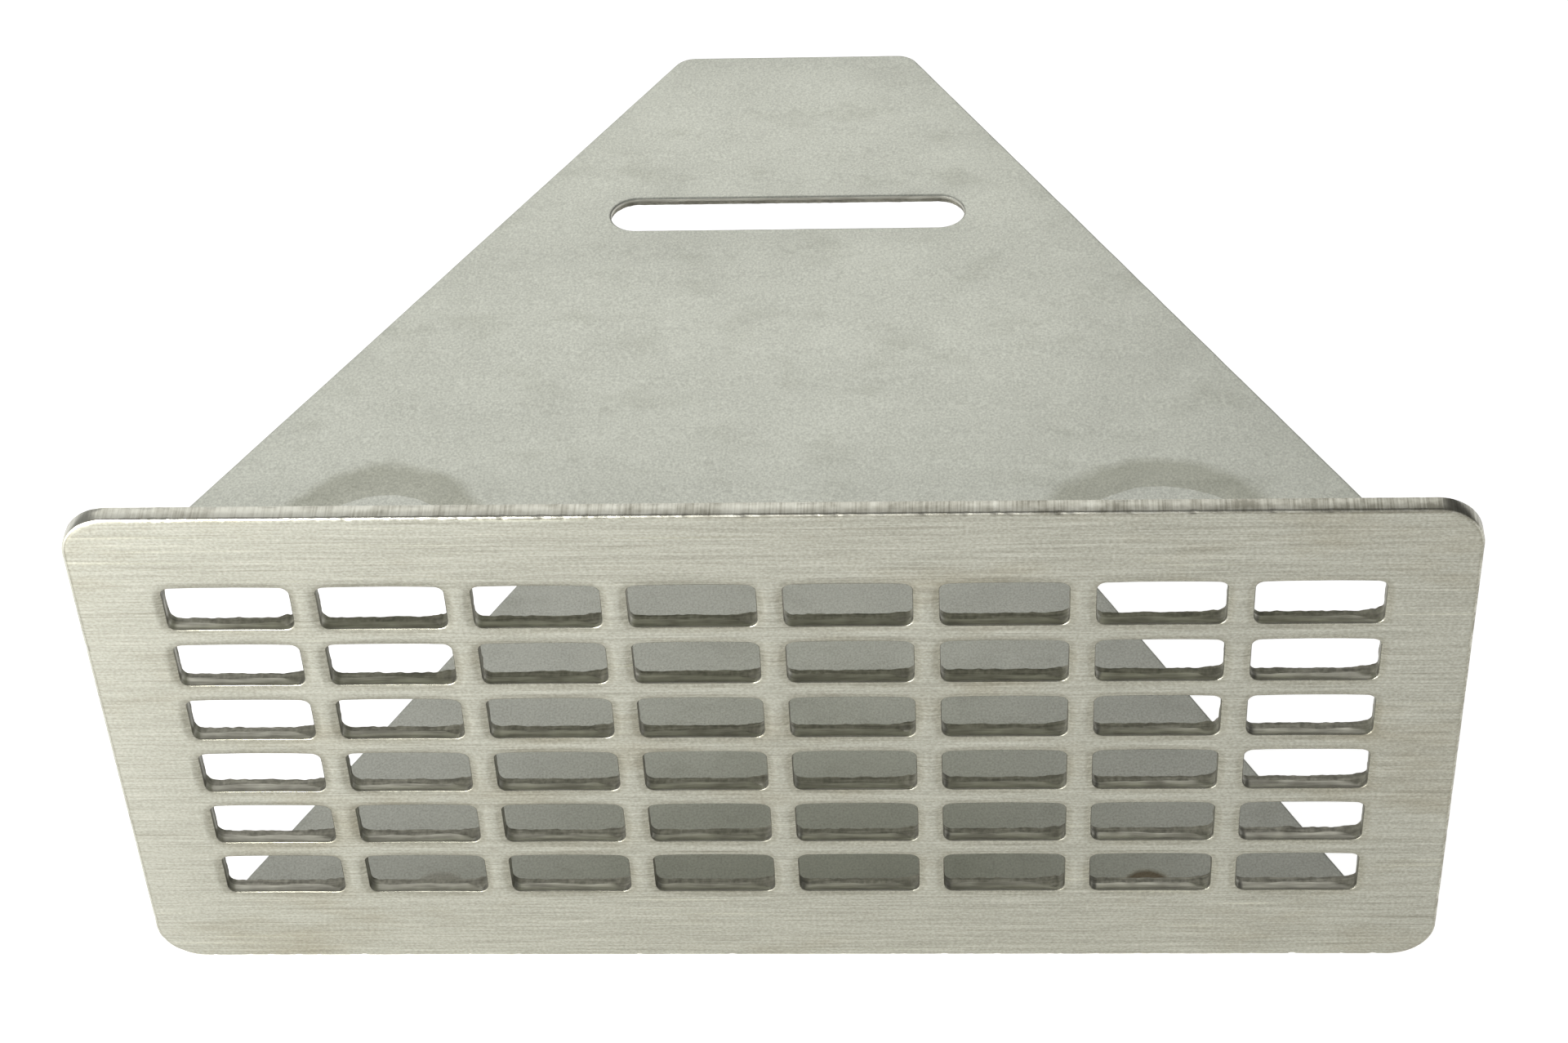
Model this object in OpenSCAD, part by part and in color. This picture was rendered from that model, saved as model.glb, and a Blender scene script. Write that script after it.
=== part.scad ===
/* [Face plate] */
// Width of the face plate, side to side
face_w = 228; // [180:1:300]
// Height of the face plate
face_h = 109.6; // [95:0.2:150]
// Thickness of the face plate
face_t = 3; // [1.5:0.1:5]
// Radius of the four outer corners
face_corner_r = 8; // [1:0.5:15]

/* [Slots in the face plate] */
// Number of slots in a row
slot_cols = 8; // [2:1:8]
// Number of rows of slots
slot_rows = 6; // [1:1:6]
// Centre to centre distance of the slots in a row
col_pitch = 25.4; // [22:0.1:27]
// Centre to centre distance of the rows
row_pitch = 13.3; // [11:0.1:16]
// Length of a slot, side to side
slot_w = 21; // [10:0.5:21.5]
// Height of a slot
slot_h = 9.5; // [4:0.5:10]
// Radius of the slot corners
slot_corner_r = 1.5; // [0.5:0.1:2]
// Height of the middle of the slot grid above the bottom edge
grid_z = 55.8; // [46:0.2:60]

/* [Wings] */
// Thickness of the two wing sheets
wing_t = 1.5; // [0.8:0.1:3]
// Distance from the face plate to the rear edge of a wing
wing_depth = 143.5; // [120:0.5:160]
// Width of a wing where it meets the face plate
wing_base_w = 207; // [170:1:220]
// Width of a wing at its rear edge, corners not rounded
wing_rear_w = 43.4; // [30:0.2:80]
// Radius of the two rear corners
wing_corner_r = 4; // [1:0.5:10]
// Height of the upper wing's top surface at the face plate
upper_wing_z = 98.3; // [70:0.1:104]
// Height of the lower wing's top surface at the face plate
lower_wing_z = 8.8; // [6:0.1:30]
// Angle by which the upper wing drops towards its rear edge
upper_wing_droop = 3; // [0:0.5:6]

/* [Slot in each wing] */
// Overall length of the wing slot, side to side
wing_slot_l = 64; // [30:1:70]
// Width of the wing slot, front to back
wing_slot_w = 9.6; // [5:0.2:14]
// Distance from the face plate to the middle of the wing slot
wing_slot_y = 92.9; // [60:0.1:105]

/* [Welds] */
// Distance from the middle of the part to the middle of a weld
weld_x = 63.5; // [30:0.5:90]
// Length of a weld bead
weld_l = 16; // [6:1:30]
// Leg of the fillet weld on the wing and on the face plate
weld_leg = 3; // [1.5:0.5:4]

/* [Hidden] */
// The face plate's front is at -face_back_y and its back at face_back_y - face_t
total_depth = face_t + wing_depth;
face_back_y = face_t - total_depth / 2;
face_front_y = face_back_y - face_t;
// Half the angle at which the two sides of a wing close in
side_run = (wing_base_w - wing_rear_w) / 2;
side_angle = atan(side_run / wing_depth);
steel = [0.72, 0.72, 0.70];
sheet = [0.78, 0.78, 0.76];
bead = [0.62, 0.60, 0.56];
$fn = 64;

// A rectangle with four round corners, centred on the origin.
module round_rect(w, h, r) {
    square([w - 2 * r, h], center = true);
    square([w, h - 2 * r], center = true);
    for (sx = [-1, 1], sy = [-1, 1])
        translate([sx * (w / 2 - r), sy * (h / 2 - r)])
            circle(r = r);
}

// The outline of a wing: front edge on the X axis, rear edge at wing_depth.
module wing_outline() {
    r = wing_corner_r;
    // Centre of a rear corner's round, touching the rear edge and the side.
    cy = wing_depth - r;
    side_x = wing_base_w / 2 - cy * tan(side_angle);
    cx = side_x - r / cos(side_angle);
    // Point where the round meets the slanting side.
    tx = cx + r * cos(side_angle);
    ty = cy + r * sin(side_angle);
    polygon([[-wing_base_w / 2, 0], [wing_base_w / 2, 0], [tx, ty], [cx, cy],
             [cx, wing_depth], [-cx, wing_depth], [-cx, cy], [-tx, ty]]);
    for (s = [-1, 1])
        translate([s * cx, cy])
            circle(r = r);
}

// The wing's slot: a straight slot with two round ends.
module wing_slot() {
    r = wing_slot_w / 2;
    square([wing_slot_l - wing_slot_w, wing_slot_w], center = true);
    for (s = [-1, 1])
        translate([s * (wing_slot_l / 2 - r), 0])
            circle(r = r);
}

// One wing, its top surface at z = 0 and its front edge at y = 0.
module wing() {
    translate([0, 0, -wing_t])
        linear_extrude(wing_t)
            difference() {
                wing_outline();
                translate([0, wing_slot_y])
                    wing_slot();
            }
}

// One fillet bead, lying along X in the corner of a wing and the face plate.
module weld_bead() {
    rotate([90, 0, 90])
        translate([0, 0, -weld_l / 2])
            linear_extrude(weld_l)
                intersection() {
                    circle(r = weld_leg);
                    square(weld_leg);
                }
}

module face_plate() {
    color(steel)
    translate([0, face_back_y, 0])
        rotate([90, 0, 0])
            linear_extrude(face_t)
                difference() {
                    translate([0, face_h / 2])
                        round_rect(face_w, face_h, face_corner_r);
                    for (c = [0 : slot_cols - 1], r = [0 : slot_rows - 1])
                        translate([(c - (slot_cols - 1) / 2) * col_pitch,
                                   grid_z + (r - (slot_rows - 1) / 2) * row_pitch])
                            round_rect(slot_w, slot_h, slot_corner_r);
                }
}

// Places its children on the upper wing: y = 0 on the face plate's back,
// z = 0 on the wing's top surface, turned about the lower front edge.
module on_upper_wing() {
    translate([0, face_back_y, upper_wing_z - wing_t])
        rotate([-upper_wing_droop, 0, 0])
            translate([0, 0, wing_t])
                children();
}

module upper_wing() {
    color(sheet) on_upper_wing() wing();
}

module lower_wing() {
    color(sheet) translate([0, face_back_y, lower_wing_z]) wing();
}

// A bead on the upper wing, its foot just above the drooping sheet.
module upper_weld(side) {
    color(bead)
    translate([side * weld_x, face_back_y, upper_wing_z])
        weld_bead();
}

// A bead under the lower wing.
module lower_weld(side) {
    color(bead)
    translate([side * weld_x, face_back_y, lower_wing_z - wing_t])
        mirror([0, 0, 1])
            weld_bead();
}

module weld_upper_left() { upper_weld(-1); }
module weld_upper_right() { upper_weld(1); }
module weld_lower_left() { lower_weld(-1); }
module weld_lower_right() { lower_weld(1); }

face_plate();
upper_wing();
lower_wing();
weld_upper_left();
weld_upper_right();
weld_lower_left();
weld_lower_right();
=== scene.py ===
"""Looks for the slotted sluice screen: a slotted face plate with two tapered sheet wings behind it.

All lengths are metres in the part's own frame: +X right, +Y from the face plate to the wings' rear
edges, +Z up.
"""

import math

import bpy
from mathutils import Matrix, Vector, noise
from mathutils.geometry import delaunay_2d_cdt


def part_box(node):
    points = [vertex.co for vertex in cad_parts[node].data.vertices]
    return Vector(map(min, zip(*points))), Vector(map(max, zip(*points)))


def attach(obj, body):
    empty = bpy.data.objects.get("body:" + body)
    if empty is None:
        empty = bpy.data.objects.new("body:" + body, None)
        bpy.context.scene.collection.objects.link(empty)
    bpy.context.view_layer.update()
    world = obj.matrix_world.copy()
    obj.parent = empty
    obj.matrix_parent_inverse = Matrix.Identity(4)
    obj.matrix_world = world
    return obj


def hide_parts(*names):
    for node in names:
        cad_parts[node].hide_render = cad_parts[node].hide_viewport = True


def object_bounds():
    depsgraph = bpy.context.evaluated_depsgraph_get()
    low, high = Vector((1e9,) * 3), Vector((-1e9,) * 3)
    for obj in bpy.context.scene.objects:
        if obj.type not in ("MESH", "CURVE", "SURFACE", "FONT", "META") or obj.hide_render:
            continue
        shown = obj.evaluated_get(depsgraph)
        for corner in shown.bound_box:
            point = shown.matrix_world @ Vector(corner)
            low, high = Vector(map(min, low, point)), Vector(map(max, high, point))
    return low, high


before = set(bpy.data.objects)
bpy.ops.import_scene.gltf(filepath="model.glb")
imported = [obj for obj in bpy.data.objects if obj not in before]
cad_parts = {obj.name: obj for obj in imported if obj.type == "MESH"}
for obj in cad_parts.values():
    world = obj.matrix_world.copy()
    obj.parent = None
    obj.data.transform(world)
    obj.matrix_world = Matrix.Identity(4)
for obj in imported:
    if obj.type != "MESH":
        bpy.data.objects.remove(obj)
cad_low, cad_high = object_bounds()

MM = 0.001

# ---------------------------------------------------------------- sizes

plate_low, plate_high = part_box("face_plate")
lower_low, lower_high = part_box("lower_wing")
upper_low, upper_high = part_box("upper_wing")

plate_width = plate_high.x - plate_low.x
plate_height = plate_high.z - plate_low.z
plate_thick = plate_high.y - plate_low.y
plate_corner = 8 * MM

SLOT_COLUMNS = 8
SLOT_ROWS = 6
column_pitch = 25.4 * MM
row_pitch = 13.3 * MM
slot_width = 21 * MM
slot_height = 9.5 * MM
slot_corner = 1.5 * MM
grid_middle = 55.8 * MM

wing_thick = lower_high.z - lower_low.z
wing_depth = lower_high.y - lower_low.y
wing_base = lower_high.x - lower_low.x
wing_rear = 43.4 * MM
wing_corner = 4 * MM
wing_slot_length = 64 * MM
wing_slot_width = 9.6 * MM
wing_slot_from_plate = 92.9 * MM
# The upper wing's box is taller than its sheet by the amount that it drops.
wing_droop = math.asin((upper_high.z - upper_low.z - wing_thick) / wing_depth)

weld_low, weld_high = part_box("weld_upper_right")
weld_x = (weld_low.x + weld_high.x) / 2


# ---------------------------------------------------------------- small helpers

def wave(x, y, seed):
    """Smooth noise from about -1 to 1, the same on every run."""
    return noise.noise(Vector((x, y, seed)))


def arc(cx, cy, r, start_deg, end_deg, steps):
    """Points on an arc, both ends included."""
    points = []
    for i in range(steps + 1):
        a = math.radians(start_deg + (end_deg - start_deg) * i / steps)
        points.append((cx + r * math.cos(a), cy + r * math.sin(a)))
    return points


def spaced(points, step):
    """A closed outline with extra points, so that none are more than step apart."""
    out = []
    for i, a in enumerate(points):
        b = points[(i + 1) % len(points)]
        length = math.dist(a, b)
        if length < 1e-8:
            continue
        parts = math.ceil(length / step)
        for k in range(parts):
            t = k / parts
            out.append((a[0] + (b[0] - a[0]) * t, a[1] + (b[1] - a[1]) * t))
    return out


def rounded_rect(cx, cy, width, height, r, arc_steps, step):
    """A rectangle with round corners, anticlockwise from its right side."""
    x = width / 2 - r
    y = height / 2 - r
    corners = (arc(cx + x, cy + y, r, 0, 90, arc_steps) + arc(cx - x, cy + y, r, 90, 180, arc_steps)
               + arc(cx - x, cy - y, r, 180, 270, arc_steps) + arc(cx + x, cy - y, r, 270, 360, arc_steps))
    return spaced(corners, step)


def outward(points):
    """For an anticlockwise outline, the unit direction away from its inside at each point."""
    normals = []
    n = len(points)
    for i in range(n):
        ax, ay = points[i - 1]
        bx, by = points[(i + 1) % n]
        length = math.dist((ax, ay), (bx, by))
        normals.append(((by - ay) / length, (ax - bx) / length))
    return normals


# ---------------------------------------------------------------- sheared sheet metal

# The surfaces of a cut sheet, in the order of its materials. A wing uses the first three only.
FACE, BURNISHED, BROKEN, BACK, SHEARED = range(5)


class Edge:
    """One cut edge of a sheet: its outline, and the shape of the cut at each point of it.

    into_metal is +1 for a hole and -1 for the sheet's outside. rings_at(x, y) gives a list of
    (distance from the cut into the metal, depth below the front face, surface), from the flat
    front face to the flat back face.
    """

    def __init__(self, points, into_metal, rings_at):
        self.points = points
        self.into_metal = into_metal
        self.rings_at = rings_at


def sheet_mesh(name, edges, place, back):
    """A closed sheet whose first edge is its outside and whose others are its holes.

    place turns a point of its flat drawing and a depth into a point in space. back is the
    surface of its flat back.
    """
    verts = []
    faces = []
    slots = []
    front_loops = []
    back_loops = []
    for edge in edges:
        normals = outward(edge.points)
        loops = []
        marks = []
        for (x, y), (nx, ny) in zip(edge.points, normals):
            for k, (inset, depth, mark) in enumerate(edge.rings_at(x, y)):
                if k == len(loops):
                    loops.append([])
                    marks.append(mark)
                s = edge.into_metal * inset
                loops[k].append(len(verts))
                verts.append((x + nx * s, y + ny * s, depth))
        n = len(edge.points)
        for k in range(len(loops) - 1):
            for i in range(n):
                j = (i + 1) % n
                quad = (loops[k][i], loops[k][j], loops[k + 1][j], loops[k + 1][i])
                faces.append(quad if edge.into_metal > 0 else quad[::-1])
                slots.append(marks[k + 1])
        front_loops.append(loops[0])
        back_loops.append(loops[-1])
    for loops, flip in ((front_loops, False), (back_loops, True)):
        flat = [i for loop in loops for i in loop]
        where = {v: i for i, v in enumerate(flat)}
        rims = [[where[v] for v in loop] for loop in loops]
        flat_points = [Vector(verts[v][:2]) for v in flat]
        _, _, made, vert_origins, _, face_origins = delaunay_2d_cdt(flat_points, [], rims, 1, 1e-9)
        for face, inside in zip(made, face_origins):
            if len(inside) > 1:
                # It lies in the outside's loop and in a hole's too.
                continue
            ids = [flat[vert_origins[v][0]] for v in face]
            faces.append(ids[::-1] if flip else ids)
            slots.append(back if flip else FACE)
    mesh = bpy.data.meshes.new(name)
    mesh.from_pydata([place(*v) for v in verts], [], faces)
    mesh.polygons.foreach_set("material_index", slots)
    mesh.validate()
    mesh.shade_smooth()
    mesh.set_sharp_from_angle(angle=math.radians(38))
    piece = bpy.data.objects.new(name, mesh)
    bpy.context.scene.collection.objects.link(piece)
    return piece


def cut_profile(thick, roll, roll_width, burnish, flare, burr, back_inset):
    """Rings across a cut edge, from the flat front to the flat back.

    The cut rolled the front over by roll across roll_width. From there to burnish, a depth, its wall
    is smooth. Below that the wall broke away by flare, and a burr stands proud of the back.
    """
    rings = [(roll_width, 0.0, FACE)]
    for share in (0.84, 0.68, 0.53, 0.40, 0.28, 0.18, 0.10):
        rings.append((share * roll_width, roll * (1 - share) ** 1.9, FACE))
    lip = roll + 0.05 * MM
    rings += [
        (0.05 * MM, lip, FACE),
        (0.0, lip + 0.12 * MM, BURNISHED),
        (0.0, lip + 0.5 * (burnish - lip), BURNISHED),
        (0.0, burnish, BURNISHED),
        (0.35 * flare, burnish + 0.10 * (thick - burnish), BROKEN),
        (0.80 * flare, burnish + 0.55 * (thick - burnish), BROKEN),
        (flare, thick - 0.05 * MM + burr, BROKEN),
        (flare + 0.06 * MM, thick + burr, BROKEN),
        (flare + 0.30 * MM, thick + 0.15 * burr, BACK),
        (back_inset, thick, BACK),
    ]
    return rings


# ---------------------------------------------------------------- face plate

def on_plate(x, z, depth):
    """The plate's flat drawing stands up: x to the right, z up, depth towards the wings."""
    return (x, plate_low.y + depth, z)


def slot_edge(column, row):
    """One punched slot. u and v run from -1 to 1 across it and up it."""
    cx = (column - (SLOT_COLUMNS - 1) / 2) * column_pitch
    cz = grid_middle + (row - (SLOT_ROWS - 1) / 2) * row_pitch
    seed = 7.3 * column + 31.7 * row
    points = rounded_rect(cx, cz, slot_width, slot_height, slot_corner, 8, 0.4 * MM)

    def rings_at(x, z):
        u = (x - cx) / (slot_width / 2)
        v = (z - cz) / (slot_height / 2)
        # The punch drags the long sides down most in their middle.
        long_side = max(0.0, 1 - abs(u) ** 2.4) * (1 if abs(v) > 0.9 else 0)
        short_side = max(0.0, 1 - abs(v) ** 2.0)
        roll = (0.06 + 0.21 * long_side + 0.30 * short_side) * MM
        roll *= 1 + 0.10 * wave(x * 300, z * 300, seed)
        # At the lower right corner the metal broke away short of the cut.
        along = max(0.0, (u - 0.62) / 0.24)
        around = max(0.0, (-v - 0.72) / 0.28)
        torn = min(1.0, along) * around
        torn *= 1 + 0.5 * wave(x * 1100, z * 1100, seed + 2)
        # Here and there the break left a tongue of metal standing into the slot.
        tongue = max(0.0, wave(x * 260, z * 260, seed + 13) - 0.25)
        burnish = (1.8 + 0.45 * wave(x * 160, z * 160, seed + 3)
                   + 0.15 * wave(x * 600, z * 600, seed + 4) - 0.7 * torn) * MM
        flare = (0.12 + 0.09 * wave(x * 900, z * 900, seed + 5) - 0.40 * tongue - 0.48 * torn) * MM
        burr = (0.10 + 0.20 * wave(x * 950, z * 950, seed + 9)
                + 0.14 * wave(x * 420, z * 420, seed + 11)) * MM
        return cut_profile(plate_thick, roll, 1.85 * MM, burnish, flare, max(0.0, burr), 1.2 * MM)

    return Edge(points, 1, rings_at)


def plate_outside():
    """The plate's sheared outline, nicked here and there."""
    middle = (plate_low.z + plate_high.z) / 2
    points = rounded_rect(0, middle, plate_width, plate_height, plate_corner, 24, 0.5 * MM)

    def rings_at(x, z):
        nick = max(0.0, wave(x * 420, z * 420, 14.0) - 0.30)
        nick += 0.6 * max(0.0, wave(x * 800, z * 800, 16.0) - 0.2)
        roll = (0.30 + 0.05 * wave(x * 130, z * 130, 2.0) + 0.03 * wave(x * 700, z * 700, 4.0)
                + 0.7 * nick) * MM
        burnish = (2.6 + 0.15 * wave(x * 200, z * 200, 6.0)) * MM
        flare = (0.04 + 0.03 * wave(x * 600, z * 600, 8.0)) * MM
        burr = max(0.0, 0.01 + 0.04 * wave(x * 900, z * 900, 10.0)) * MM
        rings = cut_profile(plate_thick, roll, 1.0 * MM, burnish, flare, burr, 0.9 * MM)
        # The outside was sheared, not punched, so it has a finish of its own, from roll to burr.
        return [(inset, depth, SHEARED if mark != BACK and inset < 0.3 * MM else mark)
                for inset, depth, mark in rings]

    return Edge(points, -1, rings_at)


plate_edges = [plate_outside()]
for column in range(SLOT_COLUMNS):
    for row in range(SLOT_ROWS):
        plate_edges.append(slot_edge(column, row))
face_plate = sheet_mesh("face_plate_sheet", plate_edges, on_plate, BACK)


# ---------------------------------------------------------------- wings

def wing_outline():
    """The wing seen from above: front edge on y = 0, rear edge at the wing's depth."""
    side_run = (wing_base - wing_rear) / 2
    side_angle = math.atan(side_run / wing_depth)
    r = wing_corner
    cy = wing_depth - r
    cx = wing_base / 2 - cy * math.tan(side_angle) - r / math.cos(side_angle)
    start = math.degrees(side_angle)
    corners = ([(wing_base / 2, 0.0)] + arc(cx, cy, r, start, 90, 12)
               + arc(-cx, cy, r, 90, 180 - start, 12) + [(-wing_base / 2, 0.0)])
    return spaced(corners, 1.0 * MM)


def wing_slot_outline():
    return rounded_rect(0, wing_slot_from_plate, wing_slot_length, wing_slot_width,
                        wing_slot_width / 2, 14, 0.7 * MM)


def wing_profile(roll, seed, ragged):
    """The cut edge of a wing's thin sheet. ragged is how far its burr varies, in millimetres."""
    def rings_at(x, y):
        depth = roll * (1 + 0.3 * wave(x * 200, y * 200, seed))
        burnish = (0.75 + 0.15 * wave(x * 300, y * 300, seed + 1)) * MM
        flare = (0.05 + 0.04 * wave(x * 900, y * 900, seed + 2)) * MM
        burr = max(0.0, 0.02 + ragged * wave(x * 1200, y * 1200, seed + 3)) * MM
        thick = wing_thick
        lip = depth + 0.04 * MM
        return [
            (0.50 * MM, 0.0, FACE),
            (0.30 * MM, 0.22 * depth, FACE),
            (0.15 * MM, 0.60 * depth, FACE),
            (0.02 * MM, lip, FACE),
            (0.0, lip + 0.06 * MM, BURNISHED),
            (0.0, burnish, BURNISHED),
            (0.6 * flare, burnish + 0.4 * (thick - burnish), BROKEN),
            (flare, thick - 0.03 * MM + burr, BROKEN),
            (flare + 0.04 * MM, thick + burr, BROKEN),
            (0.35 * MM, thick, FACE),
        ]
    return rings_at


def make_wing(name, place, seed):
    edges = [Edge(wing_outline(), -1, wing_profile(0.18 * MM, seed, 0.05)),
             Edge(wing_slot_outline(), 1, wing_profile(0.20 * MM, seed + 20, 0.10))]
    return sheet_mesh(name, edges, place, FACE)


def on_lower_wing(x, y, depth):
    return (x, plate_high.y + y, lower_high.z - depth)


def on_upper_wing(x, y, depth):
    """Turned down about the wing's lower front edge."""
    up = wing_thick - depth
    return (x,
            plate_high.y + y * math.cos(wing_droop) + up * math.sin(wing_droop),
            upper_high.z - wing_thick * math.cos(wing_droop) - y * math.sin(wing_droop)
            + up * math.cos(wing_droop))


upper_wing = make_wing("upper_wing_sheet", on_upper_wing, 40.0)
lower_wing = make_wing("lower_wing_sheet", on_lower_wing, 70.0)


# ---------------------------------------------------------------- welds

def make_weld(name, node, up, seed):
    """A fillet bead in the corner of wing and plate. up is +1 on the upper wing, -1 below the lower."""
    low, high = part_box(node)
    length = high.x - low.x
    leg = high.y - low.y
    foot_z = low.z if up > 0 else high.z
    steps_along = 96
    steps_round = 14
    ripples = 9
    verts = []
    faces = []
    for i in range(steps_along + 1):
        t = i / steps_along
        x = low.x + length * t
        # Each ripple is steep on one side, as the torch moved on.
        phase = (t * ripples) % 1.0
        ripple = 0.09 * math.sin(math.pi * phase ** 0.6)
        taper = min(1.0, 6 * t + 0.25, 6 * (1 - t) + 0.25)
        reach = leg * 0.86 * math.sqrt(taper) * (1 + ripple + 0.04 * wave(t * 9, seed, 1.0))
        for k in range(steps_round + 1):
            a = math.radians(90 * k / steps_round)
            # Slightly hollow between its toes.
            r = reach * (1 - 0.16 * math.sin(2 * a) + 0.03 * wave(t * 20, k * 0.6, seed))
            lag = 0.35 * MM * math.sin(2 * a)
            verts.append((x + lag * (1 if 0 < i < steps_along else 0),
                          low.y + r * math.cos(a), foot_z + up * r * math.sin(a)))
        verts.append((x, low.y, foot_z))
    ring = steps_round + 2
    for i in range(steps_along):
        for k in range(ring):
            a = i * ring + k
            b = i * ring + (k + 1) % ring
            quad = (a, b, b + ring, a + ring)
            faces.append(quad if up > 0 else quad[::-1])
    first = list(range(ring))
    last = [steps_along * ring + k for k in range(ring)]
    faces.append(first[::-1] if up > 0 else first)
    faces.append(last if up > 0 else last[::-1])
    mesh = bpy.data.meshes.new(name)
    mesh.from_pydata(verts, [], faces)
    mesh.validate()
    mesh.shade_smooth()
    mesh.set_sharp_from_angle(angle=math.radians(60))
    piece = bpy.data.objects.new(name, mesh)
    bpy.context.scene.collection.objects.link(piece)
    return piece


welds = {}
for number, (node, up) in enumerate((("weld_upper_left", 1), ("weld_upper_right", 1),
                                     ("weld_lower_left", -1), ("weld_lower_right", -1))):
    welds[node] = make_weld(node + "_bead", node, up, 3.0 + 5.0 * number)


# ---------------------------------------------------------------- materials

class Nodes:
    """Short ways to wire up a material's nodes."""

    def __init__(self, name, metallic, roughness):
        self.material = bpy.data.materials.new(name)
        self.material.use_nodes = True
        self.tree = self.material.node_tree
        self.shader = self.tree.nodes["Principled BSDF"]
        self.shader.inputs["Metallic"].default_value = metallic
        self.shader.inputs["Roughness"].default_value = roughness
        self.coords = self.tree.nodes.new("ShaderNodeTexCoord").outputs["Object"]

    def add(self, kind, **settings):
        node = self.tree.nodes.new(kind)
        for key, value in settings.items():
            setattr(node, key, value)
        return node

    def link(self, a, b):
        self.tree.links.new(a, b)

    def scaled(self, scale, offset=(0, 0, 0)):
        node = self.add("ShaderNodeMapping")
        node.inputs["Scale"].default_value = scale
        node.inputs["Location"].default_value = offset
        self.link(self.coords, node.inputs["Vector"])
        return node.outputs["Vector"]

    def along(self, axis):
        """The place along one of the part's axes."""
        parts = self.add("ShaderNodeSeparateXYZ")
        self.link(self.coords, parts.inputs[0])
        return parts.outputs[axis]

    def noise(self, scale, detail=3.0, offset=(0, 0, 0), rough=0.5):
        node = self.add("ShaderNodeTexNoise")
        node.inputs["Scale"].default_value = 1.0
        node.inputs["Detail"].default_value = detail
        node.inputs["Roughness"].default_value = rough
        self.link(self.scaled(scale, offset), node.inputs["Vector"])
        return node.outputs["Fac"]

    def math(self, operation, a, b=None):
        node = self.add("ShaderNodeMath", operation=operation)
        for socket, value in zip(node.inputs, (a, b)):
            if value is None:
                continue
            if isinstance(value, (int, float)):
                socket.default_value = value
            else:
                self.link(value, socket)
        return node.outputs[0]

    def ramp(self, value, stops):
        """Colours or greys along a 0 to 1 value. stops is a list of (position, (r, g, b))."""
        node = self.add("ShaderNodeValToRGB")
        bar = node.color_ramp
        while len(bar.elements) < len(stops):
            bar.elements.new(0.5)
        for element, (position, colour) in zip(bar.elements, stops):
            element.position = position
            element.color = (*colour, 1.0)
        self.link(value, node.inputs["Fac"])
        return node.outputs["Color"]

    def span(self, value, from_low, from_high, to_low, to_high):
        node = self.add("ShaderNodeMapRange")
        node.inputs["From Min"].default_value = from_low
        node.inputs["From Max"].default_value = from_high
        node.inputs["To Min"].default_value = to_low
        node.inputs["To Max"].default_value = to_high
        self.link(value, node.inputs["Value"])
        return node.outputs["Result"]

    def colour_mix(self, blend):
        """A mix node's factor, two colour inputs and colour output. The colour sockets share their
        names with its number sockets, so they are picked by place."""
        node = self.add("ShaderNodeMix", data_type="RGBA", blend_type=blend)
        return node.inputs[0], node.inputs[6], node.inputs[7], node.outputs[2]

    def multiply(self, amount, a, b):
        """Colour a times colour b, by amount."""
        factor, first, second, result = self.colour_mix("MULTIPLY")
        factor.default_value = amount
        self.link(a, first)
        self.link(b, second)
        return result

    def patched(self, where, a, patch):
        """Colour a, but the plain colour patch where the value is 1."""
        factor, first, second, result = self.colour_mix("MIX")
        self.link(where, factor)
        self.link(a, first)
        second.default_value = (*patch, 1.0)
        return result

    def heat_mark(self, x, y, z, width, reach, wobble=0.35):
        """0 at a weld's middle and 1 where the heat stopped, width to each side and reach from it.

        One of y and z is None: the direction through the sheet. wobble is how ragged it is.
        """
        across = self.math("DIVIDE", self.math("SUBTRACT", self.along("X"), x), width)
        if z is None:
            away = self.math("DIVIDE", self.math("SUBTRACT", self.along("Y"), y), reach)
        else:
            away = self.math("DIVIDE", self.math("SUBTRACT", self.along("Z"), z), reach)
        squares = self.math("ADD", self.math("POWER", self.math("ABSOLUTE", across), 2.0),
                            self.math("POWER", self.math("ABSOLUTE", away), 2.0))
        patch = self.math("SUBTRACT", self.noise((150, 150, 150), 3.0), 0.5)
        return self.math("ADD", self.math("SQRT", squares), self.math("MULTIPLY", patch, wobble))

    def mix(self, *parts):
        """The sum of (value, weight) pairs."""
        total = None
        for value, weight in parts:
            share = self.math("MULTIPLY", value, weight)
            total = share if total is None else self.math("ADD", total, share)
        return total

    def rolled_surface(self, middle):
        """Colour, roughness and normal of dull rolled sheet: fine grain, faint clouds and smears."""
        grain = self.noise((2600, 2200, 2600), 3.0, rough=0.6)
        cloud = self.noise((75, 62, 75), 5.0, (0.2, 0.9, 0), 0.6)
        smear = self.noise((28, 110, 40), 4.0, (3.1, 0.4, 0), 0.6)
        mixed = self.mix((grain, 0.74), (cloud, 0.15), (smear, 0.11))
        dark = [0.86 * part for part in middle]
        light = [1.14 * part for part in middle]
        colour = self.ramp(mixed, [(0.36, dark), (0.64, light)])
        # A few darker smudges, where it was handled.
        smudge = self.ramp(self.noise((64, 95, 64), 6.0, (5.2, 1.4, 0), 0.65),
                           [(0.34, (0.91, 0.91, 0.90)), (0.47, (1.0, 1.0, 1.0))])
        colour = self.multiply(1.0, colour, smudge)
        rough = self.span(mixed, 0.35, 0.65, 0.52, 0.46)
        return colour, rough, self.bump(grain, 0.00002, 0.4)

    def bump(self, height, distance, strength=1.0, normal=None):
        node = self.add("ShaderNodeBump")
        node.inputs["Strength"].default_value = strength
        node.inputs["Distance"].default_value = distance
        self.link(height, node.inputs["Height"])
        if normal is not None:
            self.link(normal, node.inputs["Normal"])
        return node.outputs["Normal"]

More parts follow.
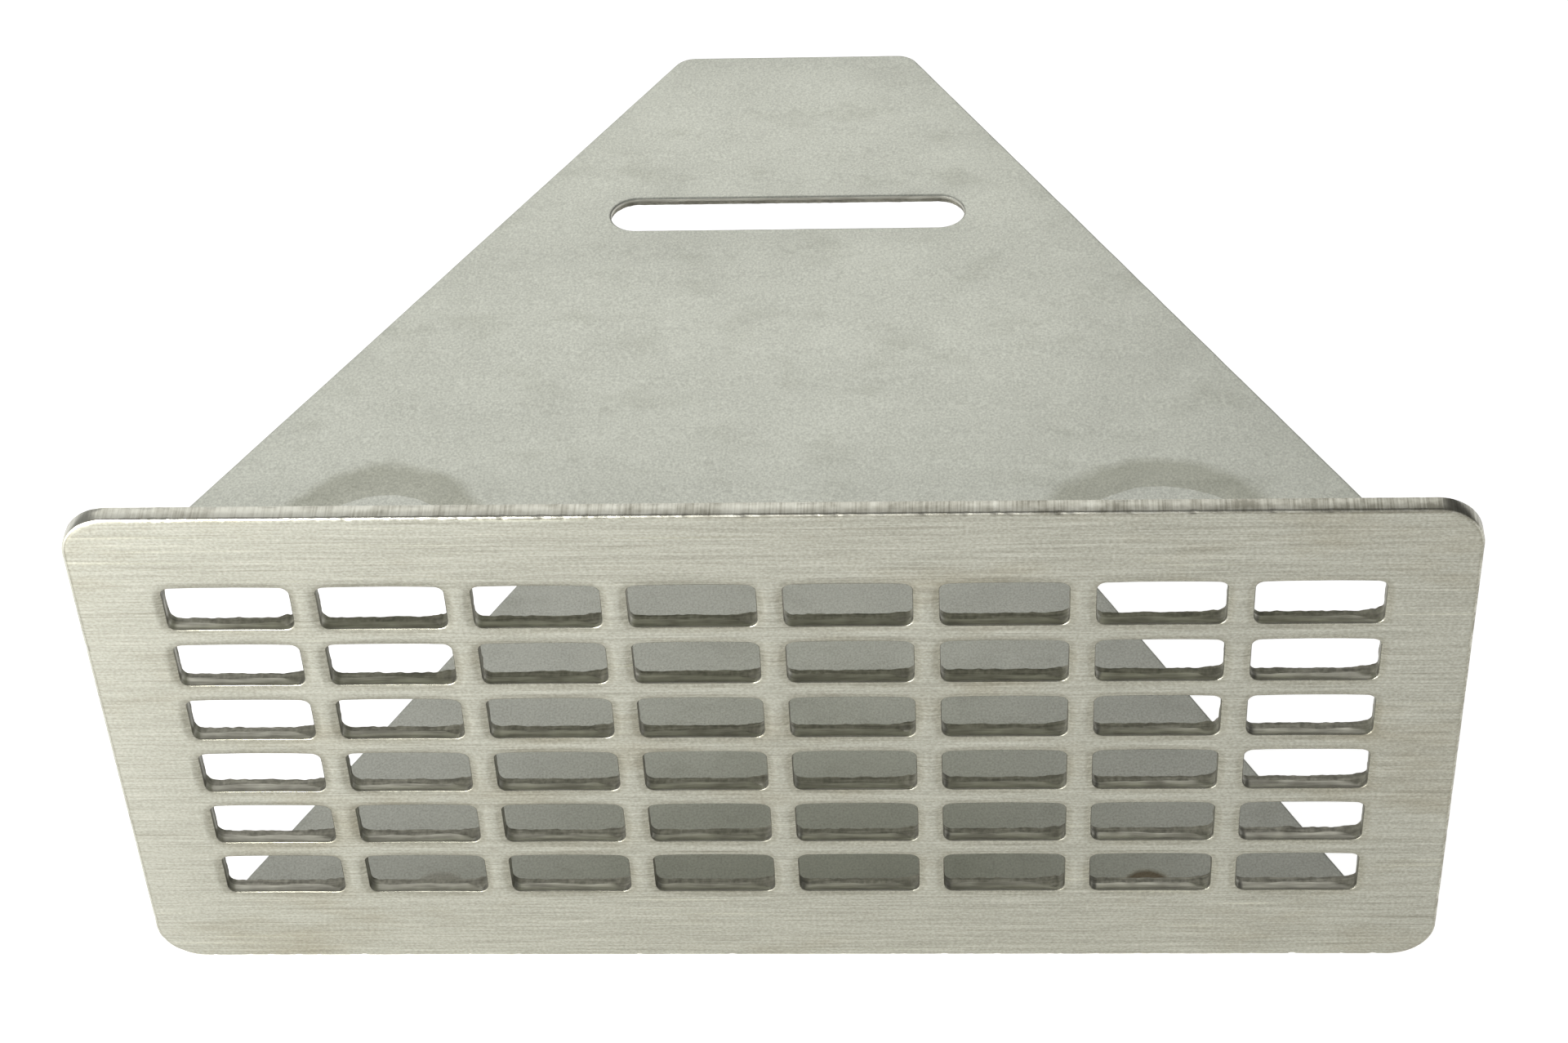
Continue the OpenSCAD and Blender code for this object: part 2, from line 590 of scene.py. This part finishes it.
    def finish(self, colour=None, roughness=None, normal=None):
        if colour is not None:
            self.link(colour, self.shader.inputs["Base Color"])
        if roughness is not None:
            self.link(roughness, self.shader.inputs["Roughness"])
        if normal is not None:
            self.link(normal, self.shader.inputs["Normal"])
        return self.material


def brushed_plate():
    """Side-to-side brushing: fine lines a few tenths of a millimetre apart and up to 20 mm long."""
    n = Nodes("plate_brushed", 1.0, 0.34)
    n.shader.inputs["Anisotropic"].default_value = 0.65
    # A quarter turn, so that highlights spread up and down, across the brush lines.
    n.shader.inputs["Anisotropic Rotation"].default_value = 0.25
    fine = n.noise((65, 65, 3000), 3.0, rough=0.6)
    long_lines = n.noise((30, 30, 1300), 3.0, (0.3, 0, 0.7))
    grain = n.noise((1800, 1800, 2600), 2.0, (0.6, 0, 0.1))
    lines = n.mix((fine, 0.44), (long_lines, 0.15), (grain, 0.41))
    colour = n.ramp(lines, [(0.36, (0.293, 0.288, 0.236)), (0.50, (0.388, 0.383, 0.323)),
                            (0.64, (0.500, 0.496, 0.426))])
    # Painted shade: the face is darkened where the punch rolled it over, which is lower than the flat of
    # it.
    sunk = n.span(n.along("Y"), plate_low.y, plate_low.y + 0.18 * MM, 0.0, 1.0)
    rim_painted_shade = n.ramp(sunk, [(0.03, (1.0, 1.0, 1.0)), (0.35, (0.86, 0.85, 0.83)), (1.0, (0.80, 0.79, 0.76))])
    colour = n.multiply(1.0, colour, rim_painted_shade)
    stain = n.ramp(n.noise((26, 26, 60), 5.0, (1.7, 0, 0.2), 0.6),
                   [(0.30, (0.87, 0.84, 0.79)), (0.47, (1.0, 1.0, 1.0))])
    # Single strokes stand out, pale where they caught the light and dark where they hold dirt.
    stroke = n.ramp(n.noise((24, 24, 1500), 2.0, (2.9, 0, 1.3)),
                    [(0.27, (0.82, 0.81, 0.79)), (0.34, (1.0, 1.0, 1.0)),
                     (0.66, (1.0, 1.0, 1.0)), (0.74, (1.20, 1.20, 1.17))])
    colour = n.multiply(1.0, n.multiply(1.0, colour, stain), stroke)
    # The punch also rubbed that rim smoother.
    rough = n.math("SUBTRACT", n.span(lines, 0.3, 0.7, 0.43, 0.33), n.math("MULTIPLY", sunk, 0.14))
    return n.finish(colour, rough, n.bump(lines, 0.00003, 0.6))


def plate_back():
    """The plate's unbrushed back, tinted by heat beside the welds."""
    n = Nodes("plate_back", 1.0, 0.45)
    colour, rough, normal = n.rolled_surface((0.57, 0.57, 0.50))
    for side in (-1, 1):
        for z in (upper_high.z, lower_low.z):
            mark = n.heat_mark(side * weld_x, None, z, 14 * MM, 13 * MM)
            tint = n.ramp(mark, [(0.45, (0.55, 0.50, 0.46)), (0.62, (0.50, 0.43, 0.34)),
                                 (0.80, (0.90, 0.80, 0.60)), (1.0, (1.0, 1.0, 1.0))])
            colour = n.multiply(1.0, colour, tint)
    return n.finish(colour, rough, normal)


def cut_wall(name, layer_scale, dark, light):
    """The smooth part of a cut edge, with layers that run along it."""
    n = Nodes(name, 1.0, 0.4)
    layers = n.noise(layer_scale, 3.0)
    patch = n.noise((260, 260, 260), 2.0, (0.5, 0.2, 0))
    mixed = n.mix((layers, 0.6), (patch, 0.4))
    colour = n.ramp(mixed, [(0.38, dark), (0.62, light)])
    rough = n.span(mixed, 0.3, 0.7, 0.50, 0.36)
    return n.finish(colour, rough, n.bump(layers, 0.00004, 0.6))


def sheared_edge():
    """The plate's outside: scored front to back, with dark patches, and painted shade that darkens it
    towards the right.
    """
    n = Nodes("plate_sheared", 1.0, 0.4)
    score = n.noise((2500, 60, 2500), 3.0, rough=0.6)
    patch = n.noise((240, 300, 240), 4.0, (0.8, 0, 0.4), 0.6)
    # Painted shade: the edge is made darker towards the right.
    right_painted_shade = n.span(n.along("X"), plate_low.x, plate_high.x, 0.05, -0.14)
    mixed = n.math("ADD", n.mix((score, 0.42), (patch, 0.58)), right_painted_shade)
    colour = n.ramp(mixed, [(0.30, (0.27, 0.26, 0.21)), (0.43, (0.45, 0.44, 0.372)),
                            (0.57, (0.60, 0.595, 0.518))])
    rough = n.span(score, 0.3, 0.7, 0.38, 0.28)
    return n.finish(colour, rough, n.bump(score, 0.00004, 0.6))


def broken_wall():
    """The torn part of a cut edge: dull, grainy and darker."""
    n = Nodes("cut_broken", 1.0, 0.6)
    grain = n.noise((1500, 900, 1500), 4.0, (0.4, 0.1, 0))
    layers = n.noise((170, 2000, 170), 3.0, (0.9, 0.3, 0))
    mixed = n.mix((grain, 0.35), (layers, 0.65))
    colour = n.ramp(mixed, [(0.36, (0.21, 0.203, 0.168)), (0.64, (0.38, 0.37, 0.31))])
    rough = n.span(grain, 0.3, 0.7, 0.66, 0.52)
    return n.finish(colour, rough, n.bump(mixed, 0.00006, 0.6))


def upper_sheet():
    """Dull rolled sheet, with a clean patch in a dark halo behind each weld."""
    n = Nodes("upper_wing_mill", 1.0, 0.5)
    colour, rough, normal = n.rolled_surface((0.615, 0.626, 0.551))
    for x, clean, halo in ((-weld_x, (13.5, 15), (20, 24)), (weld_x, (16, 15.7), (23, 23.6))):
        outer = n.heat_mark(x, plate_high.y, None, halo[0] * MM, halo[1] * MM, 0.20)
        dark = n.ramp(outer, [(0.55, (0.82, 0.815, 0.785)), (0.90, (0.76, 0.755, 0.72)),
                              (1.08, (1.0, 1.0, 1.0))])
        inner = n.heat_mark(x, plate_high.y, None, clean[0] * MM, clean[1] * MM, 0.08)
        tint = n.patched(n.math("LESS_THAN", inner, 1.0), dark, (1.01, 1.01, 1.02))
        colour = n.multiply(1.0, colour, tint)
    return n.finish(colour, rough, normal)


def shaded_lower_sheet():
    """The same sheet, darkened as painted shade, with a small brown patch at each weld."""
    n = Nodes("lower_wing_mill_painted_shade", 1.0, 0.5)
    # Painted shade: about two thirds of the upper wing's colour, for the shade under that wing.
    colour, rough, normal = n.rolled_surface((0.405, 0.409, 0.362))
    for x, weight in ((-weld_x, 0.35), (weld_x, 1.0)):
        mark = n.heat_mark(x, plate_high.y, None, 7.0 * MM, 10 * MM, 0.18)
        burn = n.ramp(mark, [(0.55, (0.60, 0.50, 0.40)), (0.88, (0.42, 0.35, 0.28)),
                             (0.95, (0.95, 0.94, 0.90)), (1.2, (1.0, 1.0, 1.0))])
        colour = n.multiply(weight, colour, burn)
    return n.finish(colour, rough, normal)


def weld_metal():
    """Rippled bead, straw and brown from the heat."""
    n = Nodes("weld_bead", 1.0, 0.38)
    patch = n.noise((380, 380, 380), 3.0)
    colour = n.ramp(patch, [(0.3, (0.30, 0.24, 0.20)), (0.5, (0.52, 0.45, 0.34)),
                            (0.7, (0.55, 0.55, 0.53))])
    rough = n.span(patch, 0.3, 0.7, 0.5, 0.3)
    return n.finish(colour, rough, n.bump(n.noise((2500, 2500, 2500)), 0.00003, 0.5))


burnished = cut_wall("cut_burnished", (150, 1700, 150), (0.26, 0.252, 0.213), (0.43, 0.42, 0.355))
wing_cut = cut_wall("wing_cut", (150, 150, 2600), (0.40, 0.39, 0.34), (0.56, 0.555, 0.49))
broken = broken_wall()
bead_material = weld_metal()

for piece, skins in ((face_plate, (brushed_plate(), burnished, broken, plate_back(), sheared_edge())),
                     (upper_wing, (upper_sheet(), wing_cut, broken)),
                     (lower_wing, (shaded_lower_sheet(), wing_cut, broken))):
    for material in skins:
        piece.data.materials.append(material)
for bead in welds.values():
    bead.data.materials.append(bead_material)

for piece, node, slot in ((face_plate, "face_plate", "plate_steel"),
                          (upper_wing, "upper_wing", "sheet_steel"),
                          (lower_wing, "lower_wing", "sheet_steel")):
    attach(piece, "root")
    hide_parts(node)
for node, bead in welds.items():
    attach(bead, "root")
    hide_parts(node)


# ---------------------------------------------------------------- floor, light and camera

floor_mesh = bpy.data.meshes.new("floor")
floor_mesh.from_pydata([(-3, -3, 0), (3, -3, 0), (3, 3, 0), (-3, 3, 0)], [], [(0, 1, 2, 3)])
floor = bpy.data.objects.new("floor", floor_mesh)
floor.location = (0, 0, cad_low.z - 0.0002)
bpy.context.scene.collection.objects.link(floor)
floor_look = Nodes("floor_pale", 0.0, 0.9)
floor_look.shader.inputs["Base Color"].default_value = (0.93, 0.93, 0.93, 1.0)
floor_look.shader.inputs["Specular IOR Level"].default_value = 0.1
# It glows a little, as a light table does.
floor_look.shader.inputs["Emission Color"].default_value = (1.0, 1.0, 1.0, 1.0)
floor_look.shader.inputs["Emission Strength"].default_value = 0.69
floor_mesh.materials.append(floor_look.material)


def studio_world():
    """A dim plain room, palest in front and on the left."""
    world = bpy.data.worlds.new("studio")
    world.use_nodes = True
    tree = world.node_tree
    coords = tree.nodes.new("ShaderNodeTexCoord")
    parts = tree.nodes.new("ShaderNodeSeparateXYZ")
    tree.links.new(coords.outputs["Generated"], parts.inputs[0])
    total = tree.nodes.new("ShaderNodeMath")
    shares = (("Y", -0.9, 0.4, 0.24, 0.05), ("X", -1.0, 0.4, 0.22, 0.06))
    for socket, (axis, start, end, at_start, at_end) in zip(total.inputs, shares):
        ramp = tree.nodes.new("ShaderNodeMapRange")
        for name, value in (("From Min", start), ("From Max", end),
                            ("To Min", at_start), ("To Max", at_end)):
            ramp.inputs[name].default_value = value
        tree.links.new(parts.outputs[axis], ramp.inputs["Value"])
        tree.links.new(ramp.outputs["Result"], socket)
    tree.links.new(total.outputs[0], tree.nodes["Background"].inputs["Strength"])
    tree.nodes["Background"].inputs["Color"].default_value = (1.0, 1.0, 1.0, 1.0)
    bpy.context.scene.world = world


def soft_light(name, place, aim, width, height, watts):
    data = bpy.data.lights.new(name, "AREA")
    data.shape = "RECTANGLE"
    data.size = width
    data.size_y = height
    data.energy = watts
    lamp = bpy.data.objects.new(name, data)
    lamp.location = place
    lamp.rotation_mode = "QUATERNION"
    lamp.rotation_quaternion = (Vector(aim) - Vector(place)).to_track_quat("-Z", "Y")
    bpy.context.scene.collection.objects.link(lamp)


studio_world()
soft_light("key_low", (-0.62, -1.05, 0.18), (0, 0, 0.05), 0.75, 0.34, 14)
soft_light("side_left", (-1.1, -0.7, 0.35), (0, 0, 0.05), 0.6, 0.6, 3)
soft_light("overhead", (-0.2, 0.9, 1.6), (0, 0, 0.05), 1.8, 1.0, 4)
soft_light("back", (-0.25, 1.55, 1.0), (0, 0, 0.05), 1.8, 0.8, 6)

# The camera stands in front and above, a little to the right, and is rolled slightly.
camera_place = Vector((32.97, -481.43, 501.26)) * MM
camera_forward = Vector((-0.05255, 0.71931, -0.69269)).normalized()
camera_right = Vector((0.99859, 0.03257, -0.04193)).normalized()
camera_up = camera_right.cross(camera_forward)
camera_data = bpy.data.cameras.new("camera")
camera_data.sensor_width = 36
camera_data.lens = 82.149
camera_data.clip_start = 0.01
camera_data.clip_end = 20
camera = bpy.data.objects.new("camera", camera_data)
turn = Matrix((camera_right, camera_up, -camera_forward)).transposed().to_4x4()
camera.matrix_world = Matrix.Translation(camera_place) @ turn
bpy.context.scene.collection.objects.link(camera)
bpy.context.scene.camera = camera
bpy.context.scene.view_settings.view_transform = "Standard"
